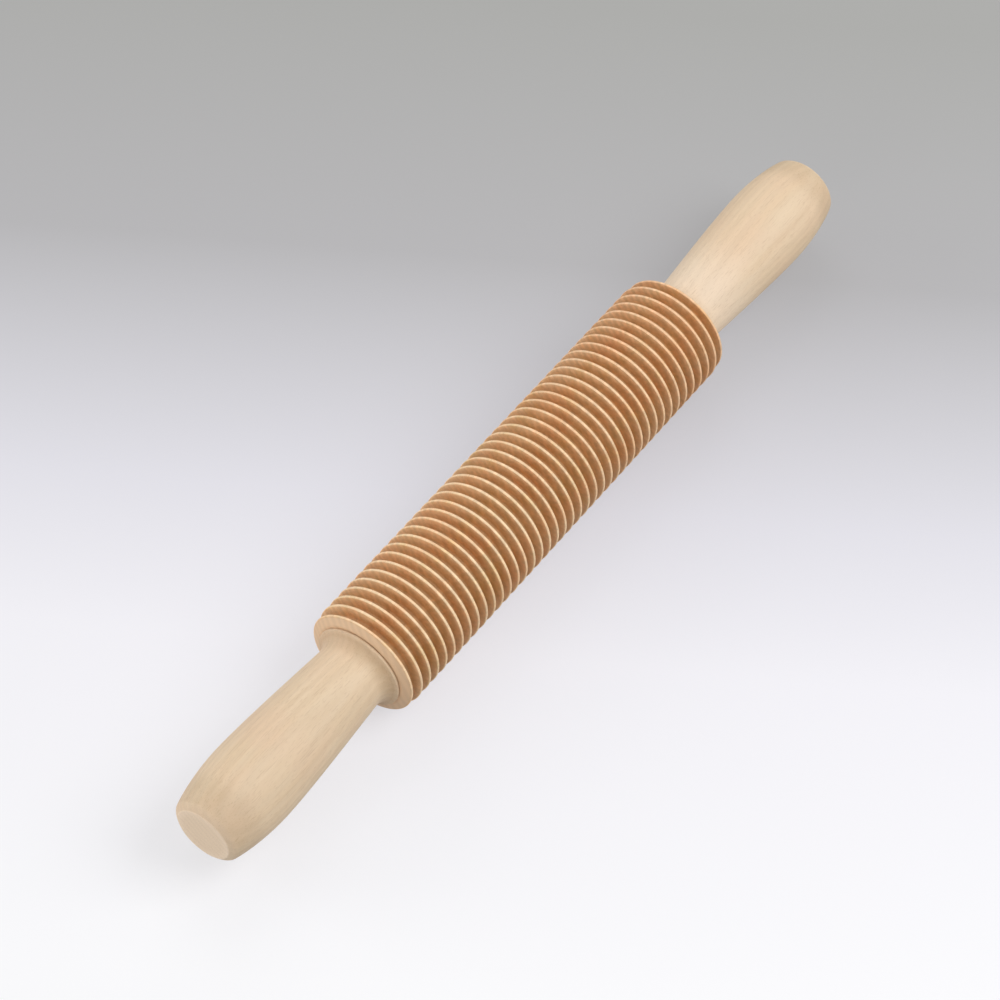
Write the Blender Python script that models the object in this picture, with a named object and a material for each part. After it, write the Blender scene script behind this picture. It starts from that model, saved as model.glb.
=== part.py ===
"""Pasta cutter rolling pin with a revolving barrel.

A beech barrel with rings of narrow crests turns on a steel axle rod. The rod's ends are glued into
two turned handles, so the handles and the rod are one hand-held piece and the barrel rolls between
them. A nylon bush in each end of the barrel runs on the rod, and a steel washer takes the end
thrust between each bush and the collar of its handle.

The pin lies along the X axis. The origin is the centre of the barrel, on the axis that it spins on.
All lengths are in metres.
"""

import math

import bmesh
import bpy

# Cutting rings: the crests cut the dough and the gaps between them set the noodle width
CREST_DIAMETER = 0.0450
GROOVE_COUNT = 40
GROOVE_PITCH = 0.0048
CREST_WIDTH = 0.0010
GROOVE_DEPTH = 0.0045
FLANK_LEAN = 0.0005

# Ends of the barrel: a slightly smaller last crest, and a steep bevel from it in to a flat end face
END_CREST_DIAMETER = 0.0436
END_BEVEL_LENGTH = 0.0008
END_FACE_DIAMETER = 0.0368

# Axle rod, with shallow rings turned in its glued ends
AXLE_DIAMETER = 0.0080
AXLE_GRIP_LENGTH = 0.0450
AXLE_CHAMFER = 0.0006
GRIP_RING_COUNT = 4
GRIP_RING_WIDTH = 0.0012
GRIP_RING_DEPTH = 0.0004

# Bushes and thrust washers
BUSH_WALL = 0.0027
BUSH_LENGTH = 0.0160
BUSH_CHAMFER = 0.0005
WASHER_RIM = 0.0077
WASHER_THICKNESS = 0.0010

# Handles, from the collar at the barrel to the flat end
COLLAR_DIAMETER = 0.0350
COLLAR_ROUND = 0.0004
COLLAR_RIM_WIDTH = 0.0012
COVE_LENGTH = 0.0057
NECK_DIAMETER = 0.02744
SWELL_LENGTH = 0.0541
BELLY_DIAMETER = 0.0336
TAPER_LENGTH = 0.0242
SHOULDER_DIAMETER = 0.0273
END_ROUND_LENGTH = 0.0024
HANDLE_END_DIAMETER = 0.0218

# Slopes of a handle's outline: how fast the radius changes along the axis at each station
NECK_SLOPE = 0.070
SHOULDER_SLOPE = 0.30
END_EDGE_SLOPE = 1.70

# How far each curve of the outline runs straight out of its ends, as shares of the curve's length
NECK_PULL = 0.31
BELLY_PULL = 0.24
TAPER_PULL = 0.37
SHOULDER_PULL = 0.25
ROUND_PULL = 0.42
END_EDGE_PULL = 0.23

# Clearances
RUNNING_CLEARANCE = 0.0003
SEAT_CLEARANCE = 0.0003
BORE_RELIEF = 0.0012
RECESS_CLEARANCE = 0.0005
END_GAP = 0.0004

# Facets of every turned surface: the flats lie at the true radius, one of them straight below
FACETS = 28
SWELL_STEPS = 8
TAPER_STEPS = 6
ROUND_STEPS = 3
COVE_STEPS = 5
SMOOTH_ANGLE = math.radians(38.0)

# Sizes that follow from the ones above
CREST_RADIUS = CREST_DIAMETER / 2
END_CREST_RADIUS = END_CREST_DIAMETER / 2
FLOOR_RADIUS = CREST_RADIUS - GROOVE_DEPTH
AXLE_RADIUS = AXLE_DIAMETER / 2
RUNNING_RADIUS = AXLE_RADIUS + RUNNING_CLEARANCE
BUSH_RADIUS = RUNNING_RADIUS + BUSH_WALL
BUSH_SEAT_RADIUS = BUSH_RADIUS + SEAT_CLEARANCE
BORE_RADIUS = AXLE_RADIUS + BORE_RELIEF
WASHER_RADIUS = RUNNING_RADIUS + WASHER_RIM
RECESS_RADIUS = WASHER_RADIUS + RECESS_CLEARANCE
SOCKET_RADIUS = AXLE_RADIUS + SEAT_CLEARANCE

# Stations along the axis, counted from the middle of the barrel
LAST_CREST_X = GROOVE_COUNT * GROOVE_PITCH / 2
BARREL_END_X = LAST_CREST_X + CREST_WIDTH / 2 + END_BEVEL_LENGTH
COLLAR_FACE_X = BARREL_END_X + END_GAP
WASHER_OUTER_X = COLLAR_FACE_X - RUNNING_CLEARANCE
WASHER_INNER_X = WASHER_OUTER_X - WASHER_THICKNESS
BUSH_FACE_X = WASHER_INNER_X - RUNNING_CLEARANCE
BUSH_INNER_X = BUSH_FACE_X - BUSH_LENGTH
SEAT_FLOOR_X = BUSH_INNER_X - SEAT_CLEARANCE
AXLE_END_X = COLLAR_FACE_X + AXLE_GRIP_LENGTH
SOCKET_DEPTH = AXLE_GRIP_LENGTH + SEAT_CLEARANCE


def clear_scene():
    """Remove the objects that a new file starts with."""
    for item in list(bpy.data.objects):
        bpy.data.objects.remove(item, do_unlink=True)


def finish(name, colour, roughness, metallic=0.0):
    """Make a plain material with one colour, roughness and metallic value."""
    material = bpy.data.materials.new(name)
    material.use_nodes = True
    shader = material.node_tree.nodes["Principled BSDF"]
    shader.inputs["Base Color"].default_value = (*colour, 1.0)
    shader.inputs["Roughness"].default_value = roughness
    shader.inputs["Metallic"].default_value = metallic
    material.diffuse_color = (*colour, 1.0)
    return material


def pivot(name, parent=None):
    """Add an empty on the spin axis that carries the pieces of one moving group."""
    empty = bpy.data.objects.new(name, None)
    empty.empty_display_size = CREST_DIAMETER
    empty.parent = parent
    bpy.context.collection.objects.link(empty)
    return empty


def turned(name, outline, material, parent, closed, x=0.0, flipped=False):
    """Turn an outline of (axial place, radius) points about the X axis into one solid.

    A closed outline joins its last point to its first and makes a solid with a bore right through.
    An open one starts and ends on the axis. The solid's origin is on the axis at x, and a flipped
    one points its outline towards -X.
    """
    half_facet = math.pi / FACETS
    shape = bmesh.new()
    points = []
    for along, radius in outline:
        rim = radius / math.cos(half_facet)
        points.append(shape.verts.new((along, rim * math.cos(half_facet), rim * math.sin(half_facet))))
    for start, end in zip(points, points[1:]):
        shape.edges.new((start, end))
    if closed:
        shape.edges.new((points[-1], points[0]))
    bmesh.ops.spin(
        shape,
        geom=shape.verts[:] + shape.edges[:],
        cent=(0.0, 0.0, 0.0),
        axis=(1.0, 0.0, 0.0),
        angle=2 * math.pi,
        steps=FACETS,
        use_merge=True,
    )
    bmesh.ops.remove_doubles(shape, verts=shape.verts[:], dist=0.000001)
    bmesh.ops.recalc_face_normals(shape, faces=shape.faces[:])

    mesh = bpy.data.meshes.new(name)
    shape.to_mesh(mesh)
    shape.free()
    mesh.shade_smooth()
    mesh.set_sharp_from_angle(angle=SMOOTH_ANGLE)
    mesh.materials.append(material)
    solid = bpy.data.objects.new(name, mesh)
    solid.location = (-x if flipped else x, 0.0, 0.0)
    solid.rotation_euler = (0.0, 0.0, math.pi if flipped else 0.0)
    solid.parent = parent
    bpy.context.collection.objects.link(solid)
    return solid


def cubic(start, start_pull, end_pull, end, steps):
    """List the points of a cubic curve, without its start, from its end points and their pulls."""
    points = []
    for step in range(1, steps + 1):
        t = step / steps
        weights = ((1 - t) ** 3, 3 * t * (1 - t) ** 2, 3 * t * t * (1 - t), t**3)
        corners = (start, start_pull, end_pull, end)
        points.append(tuple(sum(w * corner[i] for w, corner in zip(weights, corners)) for i in (0, 1)))
    return points


def cove(start, end, steps):
    """List the points of a hollow quarter ellipse, without its start.

    It leaves start square to the axis and runs into end along the axis.
    """
    points = []
    for step in range(1, steps + 1):
        angle = step / steps * math.pi / 2
        x = start[0] + (end[0] - start[0]) * (1 - math.cos(angle))
        radius = start[1] + (end[1] - start[1]) * math.sin(angle)
        points.append((x, radius))
    return points


def barrel_outline():
    """Closed outline of the barrel: forty grooves outside, bore, bush seats and recesses inside."""
    half_crest = CREST_WIDTH / 2
    outside = []
    for groove in range(GROOVE_COUNT):
        left = -LAST_CREST_X + groove * GROOVE_PITCH + half_crest
        right = left + GROOVE_PITCH - CREST_WIDTH
        left_radius = END_CREST_RADIUS if groove == 0 else CREST_RADIUS
        right_radius = END_CREST_RADIUS if groove == GROOVE_COUNT - 1 else CREST_RADIUS
        outside.append((left, left_radius))
        outside.append((left + FLANK_LEAN, FLOOR_RADIUS))
        outside.append((right - FLANK_LEAN, FLOOR_RADIUS))
        outside.append((right, right_radius))
    end = [
        (LAST_CREST_X + half_crest, END_CREST_RADIUS),
        (BARREL_END_X, END_FACE_DIAMETER / 2),
        (BARREL_END_X, RECESS_RADIUS),
        (BUSH_FACE_X, RECESS_RADIUS),
        (BUSH_FACE_X, BUSH_SEAT_RADIUS),
        (SEAT_FLOOR_X, BUSH_SEAT_RADIUS),
        (SEAT_FLOOR_X, BORE_RADIUS),
    ]
    other_end = [(-x, radius) for x, radius in reversed(end)]
    return outside + end + other_end


def handle_outline():
    """Open outline of a handle, from the middle of its flat end to the floor of its socket.

    Places are counted from the collar's face, outwards.
    """
    cove_start = (COLLAR_RIM_WIDTH, COLLAR_DIAMETER / 2)
    neck = (COLLAR_RIM_WIDTH + COVE_LENGTH, NECK_DIAMETER / 2)
    belly = (neck[0] + SWELL_LENGTH, BELLY_DIAMETER / 2)
    shoulder = (belly[0] + TAPER_LENGTH, SHOULDER_DIAMETER / 2)
    end_rim = (shoulder[0] + END_ROUND_LENGTH, HANDLE_END_DIAMETER / 2)

    neck_run = NECK_PULL * SWELL_LENGTH
    belly_run = BELLY_PULL * SWELL_LENGTH
    taper_run = TAPER_PULL * TAPER_LENGTH
    shoulder_run = SHOULDER_PULL * TAPER_LENGTH
    round_run = ROUND_PULL * END_ROUND_LENGTH
    edge_run = END_EDGE_PULL * END_ROUND_LENGTH
    neck_pull = (neck[0] + neck_run, neck[1] + NECK_SLOPE * neck_run)
    belly_pull = (belly[0] - belly_run, belly[1])
    taper_pull = (belly[0] + taper_run, belly[1])
    shoulder_pull = (shoulder[0] - shoulder_run, shoulder[1] + SHOULDER_SLOPE * shoulder_run)
    round_pull = (shoulder[0] + round_run, shoulder[1] - SHOULDER_SLOPE * round_run)
    edge_pull = (end_rim[0] - edge_run, end_rim[1] + END_EDGE_SLOPE * edge_run)

    outline = [(SOCKET_DEPTH, 0.0), (SOCKET_DEPTH, SOCKET_RADIUS), (0.0, SOCKET_RADIUS)]
    outline.append((0.0, COLLAR_DIAMETER / 2 - COLLAR_ROUND))
    outline.append((COLLAR_ROUND, COLLAR_DIAMETER / 2))
    outline.append(cove_start)
    outline += cove(cove_start, neck, COVE_STEPS)
    outline += cubic(neck, neck_pull, belly_pull, belly, SWELL_STEPS)
    outline += cubic(belly, taper_pull, shoulder_pull, shoulder, TAPER_STEPS)
    outline += cubic(shoulder, round_pull, edge_pull, end_rim, ROUND_STEPS)
    outline.append((end_rim[0], 0.0))
    return outline


def axle_outline():
    """Open outline of the axle rod, with glue rings turned in both of its ends."""
    half = []
    ring_step = AXLE_GRIP_LENGTH / (GRIP_RING_COUNT + 1)
    for ring in range(1, GRIP_RING_COUNT + 1):
        middle = COLLAR_FACE_X + ring * ring_step
        half.append((middle - GRIP_RING_WIDTH / 2, AXLE_RADIUS))
        half.append((middle, AXLE_RADIUS - GRIP_RING_DEPTH))
        half.append((middle + GRIP_RING_WIDTH / 2, AXLE_RADIUS))
    half.append((AXLE_END_X - AXLE_CHAMFER, AXLE_RADIUS))
    half.append((AXLE_END_X, AXLE_RADIUS - AXLE_CHAMFER))
    half.append((AXLE_END_X, 0.0))
    other_half = [(-x, radius) for x, radius in reversed(half)]
    return other_half + half


def bush_outline():
    """Closed outline of a bush, from its inner end outwards."""
    return [
        (0.0, RUNNING_RADIUS),
        (0.0, BUSH_RADIUS - BUSH_CHAMFER),
        (BUSH_CHAMFER, BUSH_RADIUS),
        (BUSH_LENGTH, BUSH_RADIUS),
        (BUSH_LENGTH, RUNNING_RADIUS),
    ]


def washer_outline():
    """Closed outline of a thrust washer, from its inner face outwards."""
    return [
        (0.0, RUNNING_RADIUS),
        (0.0, WASHER_RADIUS),
        (WASHER_THICKNESS, WASHER_RADIUS),
        (WASHER_THICKNESS, RUNNING_RADIUS),
    ]


def build():
    """Make every piece of the pin and hang it on its group."""
    clear_scene()
    beech = finish("grooved_beech", (0.560, 0.330, 0.160), 0.62)
    pale_wood = finish("pale_sanded_wood", (0.720, 0.545, 0.345), 0.58)
    steel = finish("drawn_steel", (0.560, 0.570, 0.580), 0.30, metallic=1.0)
    nylon = finish("white_nylon", (0.800, 0.790, 0.750), 0.45)

    hand_group = pivot("handles_and_axle")
    barrel_group = pivot("barrel_spin", parent=hand_group)

    turned("roller_barrel", barrel_outline(), beech, barrel_group, closed=True)
    turned("axle_rod", axle_outline(), steel, hand_group, closed=False)
    for side, flipped in (("left", True), ("right", False)):
        turned(f"bush_{side}", bush_outline(), nylon, barrel_group, True, BUSH_INNER_X, flipped)
        turned(f"thrust_washer_{side}", washer_outline(), steel, hand_group, True, WASHER_INNER_X, flipped)
        turned(f"handle_{side}", handle_outline(), pale_wood, hand_group, False, COLLAR_FACE_X, flipped)


build()
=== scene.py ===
"""Studio picture of a pasta cutter rolling pin.

The pin is turned wood: a beech barrel cut into rings, which spins on a steel rod between two paler
handles. Every piece is turned here again from a fine outline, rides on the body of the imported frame
that it belongs to, and takes the place of one of the frame's plain solids.

The pin lies along X with the middle of the barrel at the origin. All lengths are in metres.
"""

from __future__ import annotations

import logging
import math
from collections.abc import Sequence
from dataclasses import dataclass, field
from enum import Enum

import bpy
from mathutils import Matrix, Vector

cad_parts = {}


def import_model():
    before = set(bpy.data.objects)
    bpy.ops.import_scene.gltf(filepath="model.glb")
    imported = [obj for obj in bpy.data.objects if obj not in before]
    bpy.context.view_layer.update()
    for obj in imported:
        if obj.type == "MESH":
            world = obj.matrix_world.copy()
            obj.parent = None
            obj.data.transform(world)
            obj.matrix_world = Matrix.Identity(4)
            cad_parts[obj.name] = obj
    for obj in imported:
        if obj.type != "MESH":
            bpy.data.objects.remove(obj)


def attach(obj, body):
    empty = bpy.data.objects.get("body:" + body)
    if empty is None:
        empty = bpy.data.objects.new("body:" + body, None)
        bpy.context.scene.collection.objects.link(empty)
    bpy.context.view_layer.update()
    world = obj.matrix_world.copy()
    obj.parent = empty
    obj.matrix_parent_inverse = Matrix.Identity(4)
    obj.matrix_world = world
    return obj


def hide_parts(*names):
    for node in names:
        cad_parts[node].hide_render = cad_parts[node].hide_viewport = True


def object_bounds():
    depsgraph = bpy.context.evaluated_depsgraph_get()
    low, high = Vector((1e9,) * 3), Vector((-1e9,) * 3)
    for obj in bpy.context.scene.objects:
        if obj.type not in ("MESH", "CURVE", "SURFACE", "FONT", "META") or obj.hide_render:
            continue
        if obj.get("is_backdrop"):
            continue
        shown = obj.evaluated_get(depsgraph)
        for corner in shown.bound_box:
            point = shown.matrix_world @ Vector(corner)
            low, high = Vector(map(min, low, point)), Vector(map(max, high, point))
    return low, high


log = logging.getLogger("rolling_pin")

# How wide the plane is that every piece starts from, before it is merged to a single point.
SEED_SIZE = 0.001
# How near two points lie to become one: where stretches of an outline meet, and where a turn closes.
JOIN_DISTANCE = 0.00001
WELD_DISTANCE = 0.000001

Point = tuple[float, float]
Span = tuple[float, float]
Triple = tuple[float, float, float]
Colour = tuple[float, float, float, float]
Stop = tuple[float, Colour]


class Body(Enum):
    """The moving bodies of the pin."""

    HANDLES = "handles"
    BARREL = "barrel"


class Slot(Enum):
    """The material slots of the pin's record."""

    BARREL_WOOD = "barrel_wood"
    HANDLE_WOOD = "handle_wood"
    STEEL = "steel"
    NYLON = "nylon"


class Side(Enum):
    """The two ends of the pin, each with its direction along X."""

    LEFT = -1
    RIGHT = 1

    @property
    def label(self) -> str:
        """The end's name, as the pieces carry it."""
        return self.name.lower()


def tone(red: int, green: int, blue: int) -> Colour:
    """Give the linear colour of a screen colour.

    Args:
        red: Red, from 0 to 255.
        green: Green, from 0 to 255.
        blue: Blue, from 0 to 255.

    Returns:
        The linear red, green, blue and alpha that a shader takes.
    """
    linear = []
    for value in (red, green, blue):
        share = value / 255
        linear.append(share / 12.92 if share <= 0.04045 else ((share + 0.055) / 1.055) ** 2.4)
    return (linear[0], linear[1], linear[2], 1.0)


def grey(level: float) -> Colour:
    """Give a linear grey."""
    return (level, level, level, 1.0)


@dataclass
class Outline:
    """Half of a turned piece's section, as corners that may be eased.

    Attributes:
        corners: Each corner's place along the axis and its radius.
        eases: The radius that each corner is rounded to, 0 for a sharp one.
        steps: How many edges a rounded corner is drawn with.
    """

    corners: list[Point] = field(default_factory=list)
    eases: list[float] = field(default_factory=list)
    steps: int = 3

    def to(self, x: float, radius: float, ease: float = 0.0) -> Outline:
        """Add a corner.

        Args:
            x: Its place along the axis.
            radius: Its distance from the axis.
            ease: The radius that it is rounded to.

        Returns:
            The outline itself, for the next corner.
        """
        self.corners.append((x, radius))
        self.eases.append(ease)
        return self

    def curve(self, leave: Point, arrive: Point, end: Point, steps: int) -> Outline:
        """Add a cubic curve from the last corner.

        Args:
            leave: The pull at the curve's start, as an offset from it.
            arrive: The pull at its end, as an offset from the end.
            end: Where it ends.
            steps: How many edges it is drawn with.

        Returns:
            The outline itself.
        """
        start = self.corners[-1]
        first = (start[0] + leave[0], start[1] + leave[1])
        second = (end[0] + arrive[0], end[1] + arrive[1])
        pulls = (start, first, second, end)
        for step in range(1, steps + 1):
            t = step / steps
            weights = ((1 - t) ** 3, 3 * t * (1 - t) ** 2, 3 * t * t * (1 - t), t**3)
            x, radius = (sum(w * pull[i] for w, pull in zip(weights, pulls)) for i in (0, 1))
            self.to(x, radius)
        return self

    def cove(self, end: Point, steps: int) -> Outline:
        """Add a hollow quarter round that leaves the last corner square to the axis.

        Args:
            end: Where it runs out along the axis.
            steps: How many edges it is drawn with.

        Returns:
            The outline itself.
        """
        start = self.corners[-1]
        for step in range(1, steps + 1):
            angle = step / steps * math.pi / 2
            x = start[0] + (end[0] - start[0]) * (1 - math.cos(angle))
            self.to(x, start[1] + (end[1] - start[1]) * math.sin(angle))
        return self

    def placed(self, x: float, side: Side) -> Outline:
        """Give a copy that starts at a distance x from the middle and runs towards one end of the pin."""
        corners = [(side.value * (x + along), radius) for along, radius in self.corners]
        return Outline(corners, list(self.eases), self.steps)

    def points(self, closed: bool = False) -> list[Point]:
        """Give the outline's points with its corners rounded.

        Args:
            closed: Whether the last corner joins the first.

        Returns:
            The points in order. A closed outline ends on the point that it starts from.
        """
        count = len(self.corners)
        points: list[Point] = []
        for index, (corner, ease) in enumerate(zip(self.corners, self.eases)):
            at_end = index in (0, count - 1) and not closed
            if ease == 0.0 or at_end:
                points.append(corner)
            else:
                before = self.corners[index - 1]
                after = self.corners[(index + 1) % count]
                points.extend(self._rounded(before, corner, after, ease))
        if closed:
            points.append(points[0])
        return points

    def _rounded(self, before: Point, corner: Point, after: Point, ease: float) -> list[Point]:
        """Give the points of the arc that rounds one corner.

        Args:
            before: The corner before it.
            corner: The corner itself.
            after: The corner after it.
            ease: The arc's radius.

        Returns:
            The arc's points, from the edge before the corner to the edge after it.
        """
        middle = Vector(corner)
        back = (Vector(before) - middle).normalized()
        forth = (Vector(after) - middle).normalized()
        half = back.angle(forth) / 2
        centre = middle + (back + forth).normalized() * (ease / math.sin(half))
        start = middle + back * (ease / math.tan(half)) - centre
        end = middle + forth * (ease / math.tan(half)) - centre
        points = []
        for step in range(self.steps + 1):
            spoke = start.slerp(end, step / self.steps).normalized() * ease
            points.append(tuple(centre + spoke))
        return points


class Lathe:
    """Turns one piece with Blender's own modelling tools, from an outline drawn point by point."""

    def __init__(self, name: str) -> None:
        """Add the piece as a small plane, which the outline starts from.

        Args:
            name: The piece's name.
        """
        if bpy.context.object and bpy.context.object.mode != "OBJECT":
            bpy.ops.object.mode_set(mode="OBJECT")
        bpy.ops.object.select_all(action="DESELECT")
        bpy.ops.mesh.primitive_plane_add(size=SEED_SIZE, location=(0.0, 0.0, 0.0))
        self.piece: bpy.types.Object = bpy.context.object
        self.piece.name = name
        self.piece.data.name = name

    def draw(self, points: Sequence[Point]) -> None:
        """Draw the outline's first stretch, from one vertex.

        Args:
            points: The points to draw.
        """
        bpy.ops.object.mode_set(mode="EDIT")
        bpy.ops.mesh.select_mode(type="VERT")
        bpy.ops.mesh.select_all(action="SELECT")
        bpy.ops.mesh.merge(type="CENTER")
        x, radius = points[0]
        bpy.ops.transform.translate(value=(x, 0.0, radius))
        self._extrude(points)
        bpy.ops.object.mode_set(mode="OBJECT")

    def repeat(self, count: int, pitch: float) -> None:
        """Repeat what is drawn along the axis, each copy joined to the last.

        Args:
            count: How many there are in all.
            pitch: How far apart they are.
        """
        bpy.ops.object.modifier_add(type="ARRAY")
        array = self.piece.modifiers[-1]
        array.count = count
        array.use_relative_offset = False
        array.use_constant_offset = True
        array.constant_offset_displace = (pitch, 0.0, 0.0)
        array.use_merge_vertices = True
        array.merge_threshold = JOIN_DISTANCE
        bpy.ops.object.modifier_apply(modifier=array.name)

    def extend(self, points: Sequence[Point]) -> None:
        """Go on drawing from the vertex that lies furthest along X.

        Args:
            points: The points to draw, the first of them the vertex itself.
        """
        bpy.ops.object.mode_set(mode="EDIT")
        bpy.ops.mesh.select_all(action="DESELECT")
        bpy.ops.object.mode_set(mode="OBJECT")
        tip = max(self.piece.data.vertices, key=lambda vertex: vertex.co.x)
        tip.select = True
        bpy.ops.object.mode_set(mode="EDIT")
        self._extrude([(tip.co.x, tip.co.z), *points[1:]])
        bpy.ops.object.mode_set(mode="OBJECT")

    def mirror(self) -> None:
        """Add the other half of the outline, mirrored about the middle of the pin."""
        bpy.ops.object.modifier_add(type="MIRROR")
        mirror = self.piece.modifiers[-1]
        mirror.use_axis = (True, False, False)
        mirror.merge_threshold = JOIN_DISTANCE
        bpy.ops.object.modifier_apply(modifier=mirror.name)

    def turn(self, facets: int, crease: float = 32.0) -> bpy.types.Object:
        """Spin the outline about the axis, close it, and shade it smooth up to its sharp edges.

        Args:
            facets: How many facets go round the piece.
            crease: The angle in degrees from which an edge stays sharp.

        Returns:
            The finished piece.
        """
        bpy.ops.object.mode_set(mode="EDIT")
        bpy.ops.mesh.select_all(action="SELECT")
        bpy.ops.mesh.spin(steps=facets, angle=math.tau, center=(0.0, 0.0, 0.0), axis=(1.0, 0.0, 0.0))
        bpy.ops.mesh.select_all(action="SELECT")
        bpy.ops.mesh.remove_doubles(threshold=WELD_DISTANCE)
        bpy.ops.mesh.normals_make_consistent(inside=False)
        bpy.ops.object.mode_set(mode="OBJECT")
        bpy.ops.object.shade_smooth_by_angle(angle=math.radians(crease))
        return self.piece

    @staticmethod
    def _extrude(points: Sequence[Point]) -> None:
        """Extrude the selected vertex through the points.

        Args:
            points: The points, the first of them the vertex itself.
        """
        for (x, radius), (next_x, next_radius) in zip(points, points[1:]):
            move = (next_x - x, 0.0, next_radius - radius)
            bpy.ops.mesh.extrude_vertices_move(TRANSFORM_OT_translate={"value": move})


@dataclass(frozen=True)
class Pattern:
    """A noise pattern on a piece, and how much of it shows.

    Attributes:
        scale: How many patches go into a metre along X, Y and Z.
        shift: Where the pattern is moved to, in patches.
        detail: How many finer layers it has.
        waver: How far it is pulled about.
        span: The values of the noise between which it shows.
        levels: How much of it shows at the first of them and at the second.
    """

    scale: Triple
    shift: Triple = (0.0, 0.0, 0.0)
    detail: float = 2.0
    waver: float = 0.0
    span: Span = (0.3, 0.7)
    levels: Span = (0.0, 1.0)


class Recipe:
    """One material's nodes, with a short call for each kind that the finishes use."""

    def __init__(self, name: str, roughness: float, metallic: float = 0.0) -> None:
        """Start a material.

        Args:
            name: The material's name.
            roughness: Its roughness, where nothing varies it.
            metallic: 1 for bare metal.
        """
        self.material: bpy.types.Material = bpy.data.materials.new(name)
        self.material.use_nodes = True
        self.tree: bpy.types.NodeTree = self.material.node_tree
        self.shader: bpy.types.Node = self.tree.nodes["Principled BSDF"]
        self.shader.inputs["Roughness"].default_value = roughness
        self.shader.inputs["Metallic"].default_value = metallic
        coordinates = self.tree.nodes.new("ShaderNodeTexCoord")
        self.place: bpy.types.NodeSocket = coordinates.outputs["Object"]

    def feed(self, source: bpy.types.NodeSocket, socket: str) -> None:
        """Link a value or a colour to one of the shader's sockets."""
        self.tree.links.new(source, self.shader.inputs[socket])

    def noise(self, pattern: Pattern, moved: Triple = (0.0, 0.0, 0.0)) -> bpy.types.NodeSocket:
        """Give the noise of a pattern, from 0 to 1 and mostly near the middle.

        Args:
            pattern: The pattern.
            moved: How far it is moved from its own place, in patches.

        Returns:
            The noise.
        """
        mapping = self.tree.nodes.new("ShaderNodeMapping")
        mapping.inputs["Scale"].default_value = pattern.scale
        mapping.inputs["Location"].default_value = [a + b for a, b in zip(pattern.shift, moved)]
        self.tree.links.new(self.place, mapping.inputs["Vector"])
        noise = self.tree.nodes.new("ShaderNodeTexNoise")
        noise.inputs["Scale"].default_value = 1.0
        noise.inputs["Detail"].default_value = pattern.detail
        noise.inputs["Distortion"].default_value = pattern.waver
        self.tree.links.new(mapping.outputs["Vector"], noise.inputs["Vector"])
        return noise.outputs["Fac"]

    def pattern(self, pattern: Pattern, moved: Triple = (0.0, 0.0, 0.0)) -> bpy.types.NodeSocket:
        """Give how much of a pattern shows, moved by some patches from its own place."""
        return self.spread(self.noise(pattern, moved), *pattern.span, *pattern.levels)

    def part(self, vector: bpy.types.NodeSocket, axis: str) -> bpy.types.NodeSocket:
        """Give one of a vector's three parts, without its sign.

        Args:
            vector: The vector.
            axis: The part's axis: X, Y or Z.

        Returns:
            The part.
        """
        split = self.tree.nodes.new("ShaderNodeSeparateXYZ")
        self.tree.links.new(vector, split.inputs["Vector"])
        return self.math("ABSOLUTE", split.outputs[axis])

    def along(self, direction: Triple) -> bpy.types.NodeSocket:
        """Give how far the place lies along a direction.

        Args:
            direction: The direction.

        Returns:
            The distance from the origin in metres, below 0 on its other side.
        """
        node = self.tree.nodes.new("ShaderNodeVectorMath")
        node.operation = "DOT_PRODUCT"
        node.inputs[1].default_value = direction
        self.tree.links.new(self.place, node.inputs[0])
        return node.outputs["Value"]

    def distance(self, y: float = 0.0, z: float = 0.0) -> bpy.types.NodeSocket:
        """Give the distance from a line along X.

        Args:
            y: The line's place along Y.
            z: The line's place along Z.

        Returns:
            The distance in metres.
        """
        offset = self.tree.nodes.new("ShaderNodeVectorMath")
        offset.operation = "SUBTRACT"
        offset.inputs[1].default_value = (0.0, y, z)
        self.tree.links.new(self.place, offset.inputs[0])
        flat = self.tree.nodes.new("ShaderNodeVectorMath")
        flat.operation = "MULTIPLY"
        flat.inputs[1].default_value = (0.0, 1.0, 1.0)
        self.tree.links.new(offset.outputs["Vector"], flat.inputs[0])
        length = self.tree.nodes.new("ShaderNodeVectorMath")
        length.operation = "LENGTH"
        self.tree.links.new(flat.outputs["Vector"], length.inputs[0])
        return length.outputs["Value"]

    def math(
        self, operation: str, first: bpy.types.NodeSocket, second: bpy.types.NodeSocket | float = 0.0
    ) -> bpy.types.NodeSocket:
        """Give the result of a sum.

        Args:
            operation: The name of the sum, as Blender has it.
            first: Its first value.
            second: Its second value, a number or another node's.

        Returns:
            The result.
        """
        node = self.tree.nodes.new("ShaderNodeMath")
        node.operation = operation
        self.tree.links.new(first, node.inputs[0])
        if isinstance(second, float):
            node.inputs[1].default_value = second
        else:
            self.tree.links.new(second, node.inputs[1])
        return node.outputs["Value"]

    def spread(
        self,
        value: bpy.types.NodeSocket,
        low: float,
        high: float,
        bottom: float = 0.0,
        top: float = 1.0,
    ) -> bpy.types.NodeSocket:
        """Give a value spread from one range to another, easing in and out of its ends.

        Args:
            value: The value to spread.
            low: What becomes the bottom of the new range.
            high: What becomes its top.
            bottom: The new range's bottom.
            top: The new range's top.

        Returns:
            The new value.
        """
        node = self.tree.nodes.new("ShaderNodeMapRange")
        node.interpolation_type = "SMOOTHSTEP"
        limits = {"From Min": low, "From Max": high, "To Min": bottom, "To Max": top}
        for name, limit in limits.items():
            node.inputs[name].default_value = limit
        self.tree.links.new(value, node.inputs["Value"])
        return node.outputs["Result"]

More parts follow.
